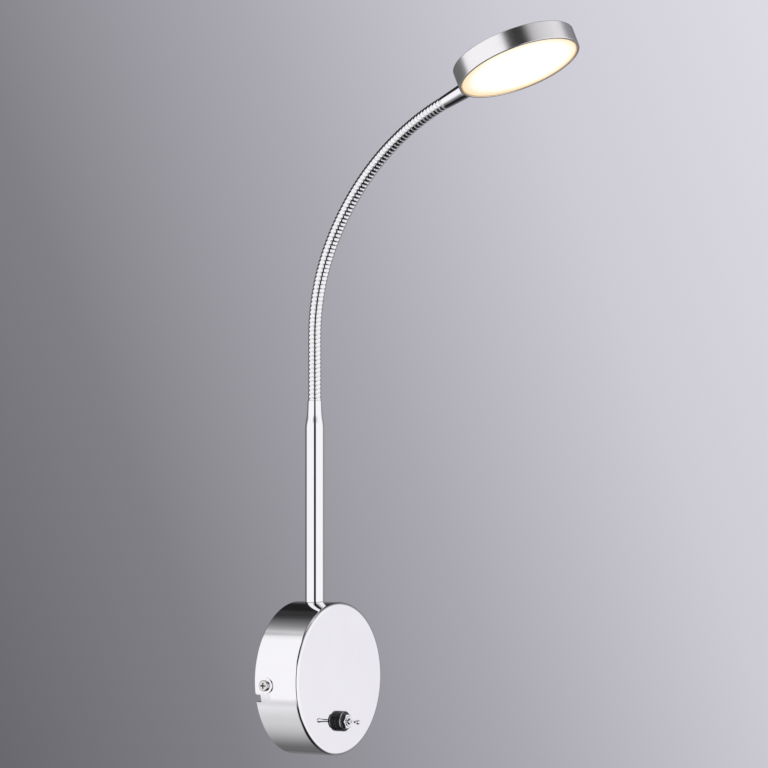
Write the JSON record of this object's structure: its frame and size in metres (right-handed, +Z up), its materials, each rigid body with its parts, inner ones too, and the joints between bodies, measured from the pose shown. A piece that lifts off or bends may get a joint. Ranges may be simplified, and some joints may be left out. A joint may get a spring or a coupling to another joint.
{
  "type": "wall reading lamp",
  "caption": "Wall reading lamp with a round canopy, a rising stem, a ribbed gooseneck and a flat round LED head; a miniature toggle switch is in the canopy's face.",
  "frame": {"origin": "on the wall, at the canopy's axis: the centre of the wall screws' slots, in the bracket's back face", "axes": "+Z up, +X to the right of someone facing the lamp, the wall is the plane y = 0 and the lamp stands out towards -Y"},
  "size_m": [0.0856, 0.166, 0.3778],
  "materials": {
    "polished_chrome": "polished",
    "hose_chrome": "polished",
    "brushed_aluminium": "satin",
    "black_ring": "satin",
    "zinc_steel": "satin",
    "brass": "satin",
    "opal_diffuser": "satin",
    "led_phosphor": "satin",
    "white_board": "satin",
    "white_plastic": "satin",
    "black_plastic": "matte",
    "nylon": "satin",
    "foam_tape": "matte"
  },
  "bodies": {
    "base": {"wall_bracket": "zinc_steel", "canopy": "polished_chrome", "canopy_screws": "polished_chrome", "canopy_screw_washers": "polished_chrome", "earth_screw": "brass", "earth_washer": "brass", "terminal_block": "white_plastic", "terminal_clamps": "brass", "terminal_screws": "zinc_steel", "terminal_fixing_screw": "zinc_steel", "driver_case": "white_plastic", "driver_lid": "white_plastic", "driver_pad": "foam_tape", "stem": "polished_chrome", "stem_saddle": "zinc_steel", "stem_lock_washer": "zinc_steel", "stem_nut": "zinc_steel", "neck_lower_nipple": "brass", "neck_length_01": "hose_chrome", "switch_housing": "black_plastic", "switch_bushing": "polished_chrome", "switch_contacts": "brass", "switch_lock_washer": "zinc_steel", "switch_back_nut": "zinc_steel", "switch_ring_nut": "black_ring", "switch_face_nut": "polished_chrome"},
    "lever": {"toggle_lever": "polished_chrome", "lever_plunger": "nylon"},
    "rocker": {"contact_rocker": "brass"},
    "link_02": {"neck_length_02": "hose_chrome"},
    "link_03": {"neck_length_03": "hose_chrome"},
    "link_04": {"neck_length_04": "hose_chrome"},
    "link_05": {"neck_length_05": "hose_chrome"},
    "link_06": {"neck_length_06": "hose_chrome"},
    "link_07": {"neck_length_07": "hose_chrome"},
    "link_08": {"neck_length_08": "hose_chrome"},
    "link_09": {"neck_length_09": "hose_chrome"},
    "link_10": {"neck_length_10": "hose_chrome"},
    "link_11": {"neck_length_11": "hose_chrome"},
    "head": {"neck_length_12": "hose_chrome", "neck_upper_nipple": "brass", "ferrule": "polished_chrome", "ferrule_washer": "zinc_steel", "ferrule_nut": "zinc_steel", "head_shell": "brushed_aluminium", "led_board": "white_board", "led_chips": "led_phosphor", "board_screws": "zinc_steel", "reflector_ring": "white_plastic", "diffuser": "opal_diffuser"}
  },
  "joints": [
    {"name": "neck_bend_01", "type": "hinge", "parent": "base", "child": "link_02", "pos_m": [0, -0.0105, 0.16107], "axis": [1, 0, 0], "range_deg": [-2, 15]},
    {"name": "neck_swing_02", "type": "hinge", "parent": "link_02", "child": "link_03", "pos_m": [0, -0.0105, 0.17654], "axis": [0, 1, 0], "range_deg": [-15, 15]},
    {"name": "neck_bend_03", "type": "hinge", "parent": "link_03", "child": "link_04", "pos_m": [0, -0.01126, 0.19198], "axis": [1, 0, 0], "range_deg": [-13, 15]},
    {"name": "neck_swing_04", "type": "hinge", "parent": "link_04", "child": "link_05", "pos_m": [0, -0.014, 0.2072], "axis": [0, 0.9704, 0.2413], "range_deg": [-15, 15]},
    {"name": "neck_bend_05", "type": "hinge", "parent": "link_05", "child": "link_06", "pos_m": [0, -0.0187, 0.22193], "axis": [1, 0, 0], "range_deg": [-13, 15]},
    {"name": "neck_swing_06", "type": "hinge", "parent": "link_06", "child": "link_07", "pos_m": [0, -0.0252, 0.23596], "axis": [0, 0.8834, 0.4686], "range_deg": [-15, 15]},
    {"name": "neck_bend_07", "type": "hinge", "parent": "link_07", "child": "link_08", "pos_m": [0, -0.03316, 0.24921], "axis": [1, 0, 0], "range_deg": [-11.5, 15]},
    {"name": "neck_swing_08", "type": "hinge", "parent": "link_08", "child": "link_09", "pos_m": [0, -0.0425, 0.26154], "axis": [0, 0.7638, 0.6454], "range_deg": [-15, 15]},
    {"name": "neck_bend_09", "type": "hinge", "parent": "link_09", "child": "link_10", "pos_m": [0, -0.0531, 0.2728], "axis": [1, 0, 0], "range_deg": [-11.5, 15]},
    {"name": "neck_swing_10", "type": "hinge", "parent": "link_10", "child": "link_11", "pos_m": [0, -0.06484, 0.28287], "axis": [0, 0.6095, 0.7928], "range_deg": [-15, 15]},
    {"name": "neck_bend_11", "type": "hinge", "parent": "link_11", "child": "head", "pos_m": [0, -0.07758, 0.29163], "axis": [1, 0, 0], "range_deg": [-11.5, 15]},
    {"name": "switch_throw", "type": "hinge", "parent": "base", "child": "lever", "pos_m": [0, -0.0294, -0.022], "axis": [0, 0, 1], "range_deg": [0, 22]},
    {"name": "rocker_tilt", "type": "hinge", "parent": "base", "child": "rocker", "pos_m": [0, -0.0195, -0.022], "axis": [0, 0, 1], "range_deg": [-16, 0]}
  ],
  "couplings": [
    {"joint": "rocker_tilt", "follows": "switch_throw", "ratio": -0.72727}
  ]
}
